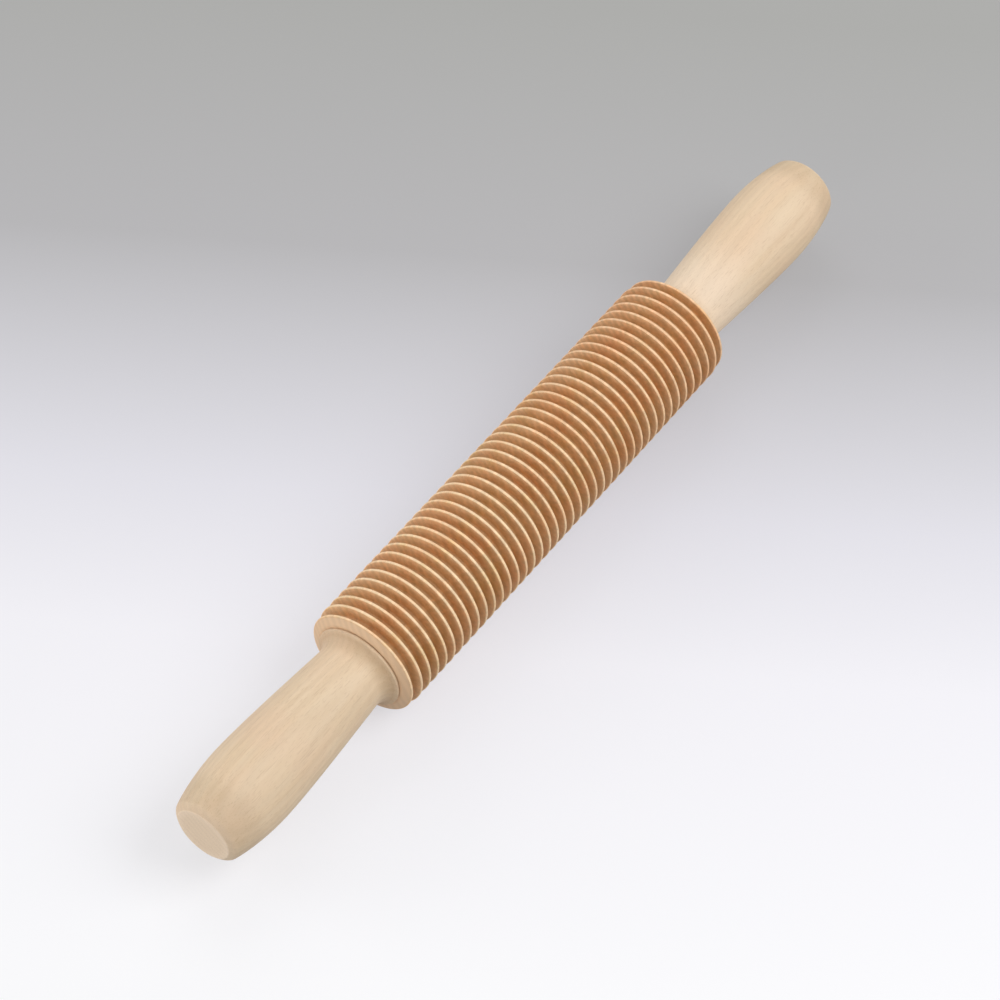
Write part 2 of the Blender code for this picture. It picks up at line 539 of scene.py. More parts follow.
    def ramp(self, value: bpy.types.NodeSocket, stops: Sequence[Stop]) -> bpy.types.NodeSocket:
        """Give a colour that follows a value.

        Args:
            value: The value, from 0 to 1.
            stops: Each stop's place and colour, in order.

        Returns:
            The colour.
        """
        node = self.tree.nodes.new("ShaderNodeValToRGB")
        elements = node.color_ramp.elements
        while len(elements) < len(stops):
            elements.new(0.5)
        for element, (place, colour) in zip(elements, stops):
            element.position = place
            element.color = colour
        self.tree.links.new(value, node.inputs["Fac"])
        return node.outputs["Color"]

    def mix(
        self,
        share: bpy.types.NodeSocket,
        first: bpy.types.NodeSocket,
        second: bpy.types.NodeSocket | Colour,
        blend: str = "MIX",
    ) -> bpy.types.NodeSocket:
        """Give one colour with a share of another laid over it.

        Args:
            share: How much of the second shows.
            first: The colour below.
            second: The colour laid over it.
            blend: How it is laid over.

        Returns:
            The mixed colour.
        """
        node = self.tree.nodes.new("ShaderNodeMix")
        node.data_type = "RGBA"
        node.blend_type = blend
        self.tree.links.new(share, node.inputs[0])
        self.tree.links.new(first, node.inputs[6])
        if isinstance(second, tuple):
            node.inputs[7].default_value = second
        else:
            self.tree.links.new(second, node.inputs[7])
        return node.outputs[2]

    def shade(self, colour: bpy.types.NodeSocket, level: bpy.types.NodeSocket) -> bpy.types.NodeSocket:
        """Give a colour made darker or lighter.

        Args:
            colour: The colour.
            level: The factor that it is multiplied by, near 1.

        Returns:
            The new colour.
        """
        node = self.tree.nodes.new("ShaderNodeVectorMath")
        node.operation = "SCALE"
        self.tree.links.new(colour, node.inputs[0])
        self.tree.links.new(level, node.inputs["Scale"])
        return node.outputs["Vector"]

    def bump(self, height: bpy.types.NodeSocket, depth: float, strength: float = 1.0) -> None:
        """Raise the surface by a height from 0 to 1.

        Args:
            height: The height.
            depth: How far a height of 1 stands out, in metres.
            strength: How much of it shows.
        """
        node = self.tree.nodes.new("ShaderNodeBump")
        node.inputs["Strength"].default_value = strength
        node.inputs["Distance"].default_value = depth
        self.tree.links.new(height, node.inputs["Height"])
        self.feed(node.outputs["Normal"], "Normal")


@dataclass(frozen=True)
class Years:
    """The yearly layers of the tree, which cross a turned piece as wide arcs.

    Attributes:
        heart: Where the middle of the tree was, beside the pin.
        width: How wide one year's growth is.
        waver: The pattern that pulls the layers about.
        pull: How far it pulls them, in radians.
        levels: How bright the dark and the light part of a layer are.
    """

    heart: Point
    width: float
    waver: Pattern
    pull: float
    levels: Span

    def shade(
        self, recipe: Recipe, colour: bpy.types.NodeSocket, moved: Triple = (0.0, 0.0, 0.0)
    ) -> bpy.types.NodeSocket:
        """Give a colour with the layers shaded into it.

        Args:
            recipe: The material that it is for.
            colour: The colour.
            moved: How far the waver is moved from its own place.

        Returns:
            The shaded colour.
        """
        layer = recipe.math("MULTIPLY", recipe.distance(*self.heart), math.tau / self.width)
        waver = recipe.math("MULTIPLY", recipe.noise(self.waver, moved), self.pull)
        wave = recipe.math("SINE", recipe.math("ADD", layer, waver))
        return recipe.shade(colour, recipe.spread(wave, -1.0, 1.0, *self.levels))


@dataclass(frozen=True)
class GroovedBeech:
    """The barrel's beech: brown down in the grooves with painted shade, and pale on the crests, which
    were sanded and also carry a painted highlight.

    Attributes:
        floor: Colour on the floor of a groove, darkened with painted shade.
        flank: Colour half way up a crest, darkened with painted shade.
        rim: Colour just under a crest's edge, part way to the crest's painted highlight.
        crest: Colour on top of a crest: the sanded wood's paler colour with a painted highlight.
        crest_dimming: Tint that darkens the tops of the crests towards the right end, dimming their
            painted highlight there.
        crest_dimming_reach: Where along X that tint begins, and where it is full.
        crest_edge: How far up a crest the tint begins and is full, as shares of its height.
        bevel: Colour of the barrel's two ends.
        bevel_reach: How far the change to the ends' colour takes.
        last_crest: How far before the bevel the last crest's lower height begins to count, and is full.
        blush: Tint of the redder patches.
        moss: Tint of the greener patches.
        fleck: Colour of the short dark flecks.
        blush_patches: Where the redder patches are.
        moss_patches: Where the greener patches are.
        streaks: How the brightness varies along the grain.
        flecks: Where the flecks are.
        fibre: The fine fibre, which stands out and catches the light.
        roughness: How rough the smoothest and the roughest fibre are.
        years: The yearly layers.
    """

    floor: Colour = tone(213, 172, 124)
    flank: Colour = tone(215, 174, 128)
    rim: Colour = tone(231, 188, 142)
    crest: Colour = tone(252, 220, 178)
    crest_dimming: Colour = tone(247, 236, 231)
    crest_dimming_reach: Span = (-0.03, 0.09)
    crest_edge: Span = (0.85, 0.95)
    bevel: Colour = tone(231, 196, 159)
    bevel_reach: float = 0.0003
    last_crest: Span = (0.0016, 0.0012)
    blush: Colour = tone(252, 226, 204)
    moss: Colour = tone(240, 238, 208)
    fleck: Colour = tone(150, 98, 60)
    blush_patches: Pattern = Pattern(
        (60.0, 110.0, 110.0), (3.0, 1.0, 7.0), detail=3.0, span=(0.42, 0.68), levels=(0.0, 0.45)
    )
    moss_patches: Pattern = Pattern(
        (55.0, 140.0, 140.0), (8.0, 5.0, 2.0), detail=3.0, span=(0.5, 0.72), levels=(0.0, 0.5)
    )
    streaks: Pattern = Pattern(
        (16.0, 520.0, 520.0), (0.0, 4.0, 2.0), detail=4.0, levels=(0.9, 1.08)
    )
    flecks: Pattern = Pattern(
        (330.0, 2100.0, 2100.0), (5.0, 2.0, 9.0), detail=1.0, span=(0.62, 0.74), levels=(0.0, 0.22)
    )
    fibre: Pattern = Pattern((420.0, 5200.0, 5200.0))
    roughness: Span = (0.52, 0.68)
    years: Years = Years(
        heart=(0.062, -0.031),
        width=0.0031,
        waver=Pattern((9.0, 60.0, 60.0)),
        pull=9.0,
        levels=(0.95, 1.02),
    )

    def material(
        self, floor_radius: float, crest_radius: float, end_crest_radius: float, bevel_x: float
    ) -> bpy.types.Material:
        """Make the material.

        Args:
            floor_radius: The radius of the grooves' floors.
            crest_radius: The radius of the crests.
            end_crest_radius: The radius of the first and the last crest.
            bevel_x: How far from the middle the barrel's ends begin.

        Returns:
            The material.
        """
        recipe = Recipe("grooved_beech", roughness=0.6)
        along = recipe.part(recipe.place, "X")
        depth = crest_radius - floor_radius
        height = recipe.math("SUBTRACT", recipe.distance(), floor_radius)
        height = recipe.math("DIVIDE", height, depth)
        stretch = depth / (end_crest_radius - floor_radius)
        begins, full = self.last_crest
        lift = recipe.spread(along, bevel_x - begins, bevel_x - full, 1.0, stretch)
        height = recipe.math("MULTIPLY", height, lift)
        # Painted shade and highlight: the ramp darkens the grooves by their depth and pales the tops of
        # the crests.
        stops = [(0.0, self.floor), (0.45, self.flank), (0.9, self.rim), (0.975, self.crest)]
        colour = recipe.ramp(height, stops)
        # Dims the crests' painted highlight towards the right end.
        to_right = recipe.spread(recipe.along((1.0, 0.0, 0.0)), *self.crest_dimming_reach)
        crest_dimming = recipe.math("MULTIPLY", to_right, recipe.spread(height, *self.crest_edge))
        colour = recipe.mix(crest_dimming, colour, self.crest_dimming, "MULTIPLY")

        colour = recipe.mix(recipe.pattern(self.blush_patches), colour, self.blush, "MULTIPLY")
        colour = recipe.mix(recipe.pattern(self.moss_patches), colour, self.moss, "MULTIPLY")
        colour = recipe.shade(colour, recipe.pattern(self.streaks))
        flecks = recipe.pattern(self.flecks)
        colour = recipe.mix(flecks, colour, self.fleck)
        at_end = recipe.spread(along, bevel_x, bevel_x + self.bevel_reach)
        colour = recipe.mix(at_end, colour, self.bevel)
        recipe.feed(self.years.shade(recipe, colour), "Base Color")

        fibre = recipe.noise(self.fibre)
        recipe.feed(recipe.spread(fibre, *self.fibre.span, *self.roughness), "Roughness")
        recipe.bump(recipe.math("SUBTRACT", fibre, flecks), depth=0.00005, strength=0.6)
        return recipe.material


@dataclass(frozen=True)
class PaleWood:
    """The handles' wood: pale, sanded, with short fine dashes along the grain.

    Lengths from the collar are counted outwards, and those from the flat end inwards.

    Attributes:
        light: Its paler colour.
        dark: Its darker colour.
        dash: Colour of the fine dashes.
        blush: Colour that the faint patches lean to.
        painted_neck_light: Paler colour on the right handle's neck: painted light, where that handle is
            lit more.
        painted_neck_light_reach: How far from the collar that colour is full, and where it has gone.
        painted_neck_light_share: How much of it shows where it is full.
        disc: Colour of the end grain on the flat end.
        disc_share: How much of that colour shows.
        disc_reach: How far from the flat end it begins and is full.
        disc_rim_highlight: Colour of the painted highlight round the edge of the flat end.
        disc_rim_highlight_from: Where that begins, as a share of the flat end's radius.
        disc_rim_highlight_share: How much of it shows at the very edge.
        tip: Tint of painted shade where the grip narrows to the flat end.
        tip_reach: How far from the flat end the tint begins and is full.
        tip_end: How far from the flat end it begins to go and has gone.
        root: Tint of the darker end grain in the cove, with painted shade there too.
        root_reach: How far from the collar it has gone.
        rim_reach: How far from the collar it begins and is full, which leaves the rim without it.
        cut: How far from the middle of the board each handle is cut, in patches of its patterns.
        streaks: How the colour varies along the grain.
        patches: Where the faint patches are.
        long_dashes: Where the long dashes are.
        pores: Where the pores are.
        fibre: The fine fibre, which stands out and catches the light.
        roughness: How rough the smoothest and the roughest fibre are.
        years: The yearly layers.
    """

    light: Colour = tone(228, 204, 173)
    dark: Colour = tone(223, 197, 164)
    dash: Colour = tone(186, 152, 116)
    blush: Colour = tone(227, 197, 166)
    painted_neck_light: Colour = tone(241, 221, 197)
    painted_neck_light_reach: Span = (0.010, 0.040)
    painted_neck_light_share: float = 0.65
    disc: Colour = tone(235, 211, 183)
    disc_share: float = 0.9
    disc_reach: Span = (0.0003, 0.0001)
    disc_rim_highlight: Colour = tone(246, 222, 196)
    disc_rim_highlight_from: float = 0.7
    disc_rim_highlight_share: float = 0.6
    tip: Colour = tone(241, 240, 237)
    tip_reach: Span = (0.017, 0.008)
    tip_end: Span = (0.0030, 0.0010)
    root: Colour = tone(236, 228, 217)
    root_reach: float = 0.0085
    rim_reach: Span = (0.0009, 0.0018)
    cut: float = 3.7
    streaks: Pattern = Pattern(
        (11.0, 380.0, 380.0), (0.0, 2.0, 0.0), detail=4.0, waver=0.1, span=(0.32, 0.68)
    )
    patches: Pattern = Pattern(
        (38.0, 52.0, 52.0), (0.0, 0.0, 1.0), span=(0.4, 0.7), levels=(0.0, 0.6)
    )
    long_dashes: Pattern = Pattern(
        (75.0, 2700.0, 2700.0), (0.0, 5.0, 1.0), detail=1.0, span=(0.58, 0.74), levels=(0.0, 0.3)
    )
    pores: Pattern = Pattern(
        (420.0, 5600.0, 5600.0), (1.0, 0.0, 8.0), detail=0.0, span=(0.66, 0.78), levels=(0.0, 0.3)
    )
    fibre: Pattern = Pattern((300.0, 6400.0, 6400.0))
    roughness: Span = (0.5, 0.66)
    years: Years = Years(
        heart=(-0.048, 0.071),
        width=0.0026,
        waver=Pattern((6.0, 45.0, 45.0)),
        pull=11.0,
        levels=(0.978, 1.012),
    )

    def material(
        self, side: Side, root_x: float, disc_x: float, disc_radius: float
    ) -> bpy.types.Material:
        """Make the material of one handle.

        Args:
            side: Which handle it is for. The two are cut from different places in the board.
            root_x: How far its collar is from the middle of the pin.
            disc_x: How far its flat end is from the middle.
            disc_radius: The radius of its flat end.

        Returns:
            The material.
        """
        cut = self.cut * side.value
        recipe = Recipe(f"pale_wood_{side.label}", roughness=0.58)
        streaks = recipe.pattern(self.streaks, (cut, 0.0, cut))
        colour = recipe.ramp(streaks, [(0.0, self.dark), (1.0, self.light)])
        colour = recipe.mix(recipe.pattern(self.patches, (cut, cut, 0.0)), colour, self.blush)
        along = recipe.part(recipe.place, "X")
        # Painted light: the right handle's neck is made paler towards the collar.
        if side is Side.RIGHT:
            full, gone = self.painted_neck_light_reach
            painted_neck_light = recipe.spread(along, root_x + full, root_x + gone, self.painted_neck_light_share, 0.0)
            colour = recipe.mix(painted_neck_light, colour, self.painted_neck_light)
        colour = self._with_disc(recipe, colour, along, disc_x, disc_radius)
        colour = self.years.shade(recipe, colour, (0.0, cut, cut))
        long_dashes = recipe.pattern(self.long_dashes, (cut, 0.0, 0.0))
        marks = recipe.math("MAXIMUM", long_dashes, recipe.pattern(self.pores, (0.0, cut, 0.0)))
        colour = recipe.mix(marks, colour, self.dash)
        recipe.feed(self._with_tints(recipe, colour, along, root_x, disc_x), "Base Color")

        fibre = recipe.noise(self.fibre, (0.0, 0.0, cut))
        recipe.feed(recipe.spread(fibre, *self.fibre.span, *self.roughness), "Roughness")
        recipe.bump(recipe.math("SUBTRACT", fibre, marks), depth=0.00004, strength=0.5)
        return recipe.material

    def _with_disc(
        self,
        recipe: Recipe,
        colour: bpy.types.NodeSocket,
        along: bpy.types.NodeSocket,
        disc_x: float,
        disc_radius: float,
    ) -> bpy.types.NodeSocket:
        """Give the colour with the flat end's end grain laid over it, and a painted highlight round its
        edge.

        Args:
            recipe: The material that it is for.
            colour: The colour.
            along: How far a place is from the middle of the pin along X.
            disc_x: How far the flat end is from the middle.
            disc_radius: The radius of the flat end.

        Returns:
            The new colour.
        """
        begins, full = self.disc_reach
        on_disc = recipe.spread(along, disc_x - begins, disc_x - full, 0.0, self.disc_share)
        colour = recipe.mix(on_disc, colour, self.disc)
        # Painted highlight round the edge of the flat end.
        edge_from = self.disc_rim_highlight_from * disc_radius
        rim_highlight_share = recipe.spread(recipe.distance(), edge_from, disc_radius, 0.0, self.disc_rim_highlight_share)
        return recipe.mix(recipe.math("MULTIPLY", on_disc, rim_highlight_share), colour, self.disc_rim_highlight)

    def _with_tints(
        self,
        recipe: Recipe,
        colour: bpy.types.NodeSocket,
        along: bpy.types.NodeSocket,
        root_x: float,
        disc_x: float,
    ) -> bpy.types.NodeSocket:
        """Give the colour darkened in the cove by end grain and painted shade, and with painted shade
        where the grip narrows to its flat end.

        Args:
            recipe: The material that it is for.
            colour: The colour.
            along: How far a place is from the middle of the pin along X.
            root_x: How far the collar is from the middle.
            disc_x: How far the flat end is from the middle.

        Returns:
            The tinted colour.
        """
        # Darker end grain and painted shade in the cove, leaving the rim out.
        begins, full = self.rim_reach
        behind_rim = recipe.spread(along, root_x + begins, root_x + full)
        before_neck = recipe.spread(along, root_x, root_x + self.root_reach, 1.0, 0.0)
        cove_grain_and_shade_share = recipe.math("MULTIPLY", behind_rim, before_neck)
        colour = recipe.mix(cove_grain_and_shade_share, colour, self.root, "MULTIPLY")
        # Painted shade where the grip narrows to its flat end.
        begins, full = self.tip_reach
        past_belly = recipe.spread(along, disc_x - begins, disc_x - full)
        begins, gone = self.tip_end
        before_end = recipe.spread(along, disc_x - begins, disc_x - gone, 1.0, 0.0)
        tip_shade_share = recipe.math("MULTIPLY", past_belly, before_end)
        return recipe.mix(tip_shade_share, colour, self.tip, "MULTIPLY")


@dataclass(frozen=True)
class DrawnSteel:
    """Bright drawn steel of the rod and the thrust washers.

    Attributes:
        bright: The colour of the clean metal.
        dull: The colour of the drawn lines in it.
        lines: The fine lines along X from the drawing die.
        roughness: How rough the dull and the bright parts are.
    """

    bright: Colour = tone(200, 201, 203)
    dull: Colour = tone(176, 177, 180)
    lines: Pattern = Pattern((35.0, 5200.0, 5200.0), detail=3.0)
    roughness: Span = (0.24, 0.36)

    def material(self) -> bpy.types.Material:
        """Make the material.

        Returns:
            The material.
        """
        recipe = Recipe("drawn_steel", roughness=0.3, metallic=1.0)
        lines = recipe.pattern(self.lines)
        recipe.feed(recipe.ramp(lines, [(0.0, self.dull), (1.0, self.bright)]), "Base Color")
        recipe.feed(recipe.spread(lines, 0.0, 1.0, *self.roughness), "Roughness")
        recipe.bump(lines, depth=0.000008, strength=0.5)
        return recipe.material


@dataclass(frozen=True)
class TurnedNylon:
    """Natural nylon of the bushes, with the fine rings of its turning.

    Attributes:
        pale: Its colour.
        shaded: Its colour in the rings.
        ring: How far apart the rings are.
    """

    pale: Colour = tone(232, 229, 220)
    shaded: Colour = tone(222, 218, 207)
    ring: float = 0.0004

    def material(self) -> bpy.types.Material:
        """Make the material.

        Returns:
            The material.
        """
        recipe = Recipe("turned_nylon", roughness=0.45)
        turns = recipe.math("MULTIPLY", recipe.part(recipe.place, "X"), math.tau / self.ring)
        rings = recipe.spread(recipe.math("SINE", turns), -1.0, 1.0)
        recipe.feed(recipe.ramp(rings, [(0.0, self.shaded), (1.0, self.pale)]), "Base Color")
        recipe.bump(rings, depth=0.00001, strength=0.4)
        return recipe.material


def dress(
    piece: bpy.types.Object, material: bpy.types.Material, body: Body, node: str
) -> bpy.types.Object:
    """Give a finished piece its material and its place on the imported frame.

    Args:
        piece: The piece.
        material: Its material.
        body: The body that it moves with.
        node: The frame's node that it stands for.

    Returns:
        The piece.
    """
    piece.data.materials.clear()
    piece.data.materials.append(material)
    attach(piece, body.value)
    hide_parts(node)
    log.info("%s: %d faces, %s", piece.name, len(piece.data.polygons), material.name)
    return piece


@dataclass
class Barrel:
    """The grooved barrel, with its bore and the seats for bushes and washers.

    Attributes:
        node: The frame's node that it stands for.
        crest_radius: The radius of the crests.
        end_crest_radius: The radius of the first and the last crest.
        end_crest_front: How far the first and the last crest reach beyond their middle.
        end_x: How far its end faces are from the middle.
        grooves: How many grooves it has.
        pitch: How far apart the crests are.
        crest_width: How wide a crest is.
        crest_ease: How its edges are rounded.
        groove_depth: How deep a groove is.
        flank_lean: How far a crest widens down to the groove's floor.
        floor_ease: How the groove's corners are rounded.
        end_face_radius: The radius of the flat end face, inside the bevel.
        recess_radius: The radius of the washer's recess.
        recess_depth: Its depth.
        seat_radius: The radius of the bush's seat.
        seat_depth: How deep the seat goes beyond the recess.
        bore_radius: The radius of the bore for the rod.
        face_ease: How the edge between the bevel and the end face is rounded.
        edge_ease: How the edges inside the end are rounded.
        facets: How many facets go round it.
    """

    node: str = "roller_barrel"
    crest_radius: float = 0.0225
    end_crest_radius: float = 0.0218
    end_crest_front: float = 0.0003
    end_x: float = 0.09755
    grooves: int = 40
    pitch: float = 0.0048
    crest_width: float = 0.0010
    crest_ease: float = 0.00032
    groove_depth: float = 0.0045
    flank_lean: float = 0.0005
    floor_ease: float = 0.0005
    end_face_radius: float = 0.0184
    recess_radius: float = 0.0125
    recess_depth: float = 0.00135
    seat_radius: float = 0.0073
    seat_depth: float = 0.0163
    bore_radius: float = 0.0052
    face_ease: float = 0.0006
    edge_ease: float = 0.0003
    facets: int = 128

    @property
    def floor_radius(self) -> float:
        """The radius of a groove's floor."""
        return self.crest_radius - self.groove_depth

    @property
    def last_crest_x(self) -> float:
        """How far the last crest is from the middle."""
        return self.grooves * self.pitch / 2

    def groove(self, start: float, far_radius: float) -> Outline:
        """Give the outline of one groove, from the middle of a crest to the middle of the next.

        Args:
            start: Where the first of the two crests is.
            far_radius: The radius of the second.

        Returns:
            The outline.
        """
        edge = self.crest_width / 2
        foot = edge + self.flank_lean
        end = start + self.pitch
        outline = Outline(steps=3)
        outline.to(start, self.crest_radius)
        outline.to(start + edge, self.crest_radius, self.crest_ease)
        outline.to(start + foot, self.floor_radius, self.floor_ease)
        outline.to(end - foot, self.floor_radius, self.floor_ease)
        outline.to(end - edge, far_radius, self.crest_ease)
        outline.to(end, far_radius)
        return outline

    def end(self) -> Outline:
        """Give the outline of one end, from the last groove round to the middle of the bore.

        Returns:
            The outline.
        """
        recess_x = self.end_x - self.recess_depth
        seat_x = recess_x - self.seat_depth
        outline = self.groove(self.last_crest_x - self.pitch, self.end_crest_radius)
        outline.to(self.last_crest_x + self.end_crest_front, self.end_crest_radius, self.crest_ease / 2)
        outline.to(self.end_x, self.end_face_radius, self.face_ease)
        outline.to(self.end_x, self.recess_radius, self.edge_ease)
        outline.to(recess_x, self.recess_radius)
        outline.to(recess_x, self.seat_radius, self.edge_ease)
        outline.to(seat_x, self.seat_radius)
        outline.to(seat_x, self.bore_radius, self.edge_ease)
        outline.to(0.0, self.bore_radius)
        return outline

    def build(self, wood: GroovedBeech) -> bpy.types.Object:
        """Turn the barrel and dress it.

        Args:
            wood: Its finish.

        Returns:
            The barrel.
        """
        lathe = Lathe("barrel")
        lathe.draw(self.groove(0.0, self.crest_radius).points())
        lathe.repeat(self.grooves // 2 - 1, self.pitch)
        lathe.extend(self.end().points())
        lathe.mirror()
        piece = lathe.turn(self.facets)
        bevel_x = self.last_crest_x + self.end_crest_front
        material = wood.material(self.floor_radius, self.crest_radius, self.end_crest_radius, bevel_x)
        return dress(piece, material, Body.BARREL, self.node)


@dataclass
class Handle:
    """One turned handle: collar, cove, slim neck, swelling grip and a small flat end.

    Attributes:
        side: The end of the pin that it is on.
        collar_x: How far the collar's face is from the middle of the pin.
        collar_radius: The radius of the collar.
        collar_ease: How the collar's inner edge is rounded.
        rim_width: How wide the collar's rim is.
        rim_ease: How the edge between the rim and the cove is rounded.
        cove_length: How long the cove is.
        cove_steps: How many edges it is drawn with.
        neck_radius: The radius of the neck.
        neck_slope: How fast the grip swells at the neck.
        swell_length: How far the neck is from the belly.
        swell_pulls: How far the curve between them holds its first and its last slope, as shares
            of its length.
        swell_steps: How many edges it is drawn with.
        belly_radius: The radius of the belly.
        taper_length: How far the belly is from the shoulder.
        taper_pulls: How far the curve between them holds its slopes, in the same way.
        taper_steps: How many edges it is drawn with.
        shoulder_radius: The radius of the shoulder.
        shoulder_slope: How fast the grip narrows there.
        round_length: How long the rounding from the shoulder to the flat end is.
        round_pulls: How far its curve holds its slopes, in the same way.
        round_steps: How many edges it is drawn with.
        end_radius: The radius of the flat end.
        end_slope: How steeply the rounding meets it.
        end_ease: How the edge between them is rounded.
        end_rings: Where rings of points lie on the flat end, as shares of its radius.
        socket_radius: The radius of the rod's socket.
        socket_depth: Its depth.
        socket_ease: How its mouth is rounded.
        facets: How many facets go round it.
    """

    side: Side
    collar_x: float = 0.0977
    collar_radius: float = 0.0175
    collar_ease: float = 0.00050
    rim_width: float = 0.0012
    rim_ease: float = 0.00030
    cove_length: float = 0.0057
    cove_steps: int = 12
    neck_radius: float = 0.01372
    neck_slope: float = 0.070
    swell_length: float = 0.0541
    swell_pulls: Span = (0.31, 0.24)
    swell_steps: int = 26
    belly_radius: float = 0.0168
    taper_length: float = 0.0242
    taper_pulls: Span = (0.37, 0.25)
    taper_steps: int = 16
    shoulder_radius: float = 0.01365
    shoulder_slope: float = 0.30
    round_length: float = 0.0024
    round_pulls: Span = (0.42, 0.23)
    round_steps: int = 10
    end_radius: float = 0.0109
    end_slope: float = 1.70
    end_ease: float = 0.00012
    end_rings: Span = (0.7, 0.35)
    socket_radius: float = 0.0043
    socket_depth: float = 0.0453
    socket_ease: float = 0.0003
    facets: int = 128

    def outline(self) -> Outline:
        """Give its outline, from the floor of its socket round to the middle of its flat end.

        Returns:
            The outline, with the collar's face at 0.
        """
        neck = (self.rim_width + self.cove_length, self.neck_radius)
        belly = (neck[0] + self.swell_length, self.belly_radius)
        shoulder = (belly[0] + self.taper_length, self.shoulder_radius)
        end = (shoulder[0] + self.round_length, self.end_radius)

        outline = Outline(steps=4)
        outline.to(self.socket_depth, 0.0)
        outline.to(self.socket_depth, self.socket_radius)
        outline.to(0.0, self.socket_radius, self.socket_ease)
        outline.to(0.0, self.collar_radius, self.collar_ease)
        outline.to(self.rim_width, self.collar_radius, self.rim_ease)
        outline.cove(neck, self.cove_steps)
        first, last = (pull * self.swell_length for pull in self.swell_pulls)
        outline.curve((first, self.neck_slope * first), (-last, 0.0), belly, self.swell_steps)
        first, last = (pull * self.taper_length for pull in self.taper_pulls)
        narrowing = (-last, self.shoulder_slope * last)
        outline.curve((first, 0.0), narrowing, shoulder, self.taper_steps)
        first, last = (pull * self.round_length for pull in self.round_pulls)
        leave = (first, -self.shoulder_slope * first)
        outline.curve(leave, (-last, self.end_slope * last), end, self.round_steps)
        outline.eases[-1] = self.end_ease
        for share in self.end_rings:
            outline.to(end[0], share * self.end_radius)
        outline.to(end[0], 0.0)
        return outline

    def build(self, wood: PaleWood) -> bpy.types.Object:
        """Turn the handle and dress it.

        Args:
            wood: Its finish.

        Returns:
            The handle.
        """
        lathe = Lathe(f"{self.side.label}_handle")
        outline = self.outline()
        lathe.draw(outline.placed(self.collar_x, self.side).points())
        piece = lathe.turn(self.facets)
        disc_x = self.collar_x + outline.corners[-1][0]
        material = wood.material(self.side, self.collar_x, disc_x, self.end_radius)
        return dress(piece, material, Body.HANDLES, f"handle_{self.side.label}")


@dataclass
class Axle:
    """The steel rod through the barrel, with glue rings turned in both of its ends.

    Attributes:
        radius: Its radius.
        end_x: How far its ends are from the middle of the pin.
        grip_x: How far the handles' sockets are from the middle.
        rings: How many glue rings each end has.
        ring_width: How wide a ring is.
        ring_depth: How deep it is.
        ring_ease: How the bottom of a ring is rounded.
        edge_ease: How the edges of the rings and of the ends are rounded.
        chamfer: How wide the chamfer of its ends is.
        facets: How many facets go round it.
    """

    radius: float = 0.0040
    end_x: float = 0.1427
    grip_x: float = Handle.collar_x
    rings: int = 4
    ring_width: float = 0.0012
    ring_depth: float = 0.0004
    ring_ease: float = 0.0002
    edge_ease: float = 0.0001
    chamfer: float = 0.0006
    facets: int = 64

    def outline(self) -> Outline:
        """Give the outline of one half, from the middle of the pin to the middle of the rod's end.

        Returns:
            The outline.
        """
        step = (self.end_x - self.grip_x) / (self.rings + 1)
        outline = Outline()
        outline.to(0.0, self.radius)
        for ring in range(1, self.rings + 1):
            middle = self.grip_x + ring * step
            outline.to(middle - self.ring_width / 2, self.radius, self.edge_ease)
            outline.to(middle, self.radius - self.ring_depth, self.ring_ease)
            outline.to(middle + self.ring_width / 2, self.radius, self.edge_ease)
        outline.to(self.end_x - self.chamfer, self.radius, self.edge_ease)
        outline.to(self.end_x, self.radius - self.chamfer, self.edge_ease)
        outline.to(self.end_x, 0.0)
        return outline

    def build(self, steel: bpy.types.Material) -> bpy.types.Object:
        """Turn the rod and dress it.

        Args:
            steel: Its material.

        Returns:
            The rod.
        """
        lathe = Lathe("axle")
        lathe.draw(self.outline().points())
        lathe.mirror()
        piece = lathe.turn(self.facets)
        return dress(piece, steel, Body.HANDLES, "axle_rod")


@dataclass
class Ring:
    """A plain ring round the rod, one at each end of the barrel.

    Attributes:
        name: What it is, as its node's name starts.
        body: The body that it moves with.
        slot: The slot of its finish. Not used here.
        inner_x: How far its inner face is from the middle of the pin.
        length: Its length along the rod.
        bore_radius: The radius of its bore.
        radius: Its outer radius.
        lead: The chamfer of its inner outside edge, which helps it into its seat.
        ease: How its edges are rounded.
        facets: How many facets go round it.
    """

    name: str
    body: Body
    slot: Slot
    inner_x: float
    length: float
    bore_radius: float
    radius: float
    lead: float
    ease: float = 0.0001
    facets: int = 64

    def outline(self) -> Outline:
        """Give its closed outline, from its inner face outwards.

        Returns:
            The outline, with the inner face at 0.
        """
        outline = Outline()
        outline.to(0.0, self.bore_radius, self.ease)
        outline.to(0.0, self.radius - self.lead, self.ease)
        outline.to(self.lead, self.radius, self.ease)
        outline.to(self.length, self.radius, self.ease)
        outline.to(self.length, self.bore_radius, self.ease)
        return outline

    def build(self, side: Side, material: bpy.types.Material) -> bpy.types.Object:
        """Turn the ring for one end and dress it.

        Args:
            side: The end of the pin.
            material: Its material.

        Returns:
            The ring.
        """
        lathe = Lathe(f"{side.label}_{self.name}")
        lathe.draw(self.outline().placed(self.inner_x, side).points(closed=True))
        piece = lathe.turn(self.facets)
        return dress(piece, material, self.body, f"{self.name}_{side.label}")


@dataclass
class Bush(Ring):
    """The nylon sleeve that is pressed into the barrel and runs on the rod."""

    name: str = "bush"
    body: Body = Body.BARREL
    slot: Slot = Slot.NYLON
    inner_x: float = 0.0801
    length: float = 0.0160
    bore_radius: float = 0.0043
    radius: float = 0.0070
    lead: float = 0.0005


@dataclass
class ThrustWasher(Ring):
    """The thin steel ring between a bush and the collar of its handle."""

    name: str = "thrust_washer"
    body: Body = Body.HANDLES
    slot: Slot = Slot.STEEL
    inner_x: float = 0.0964
    length: float = 0.0010
    bore_radius: float = 0.0043
    radius: float = 0.0120
    lead: float = 0.0002


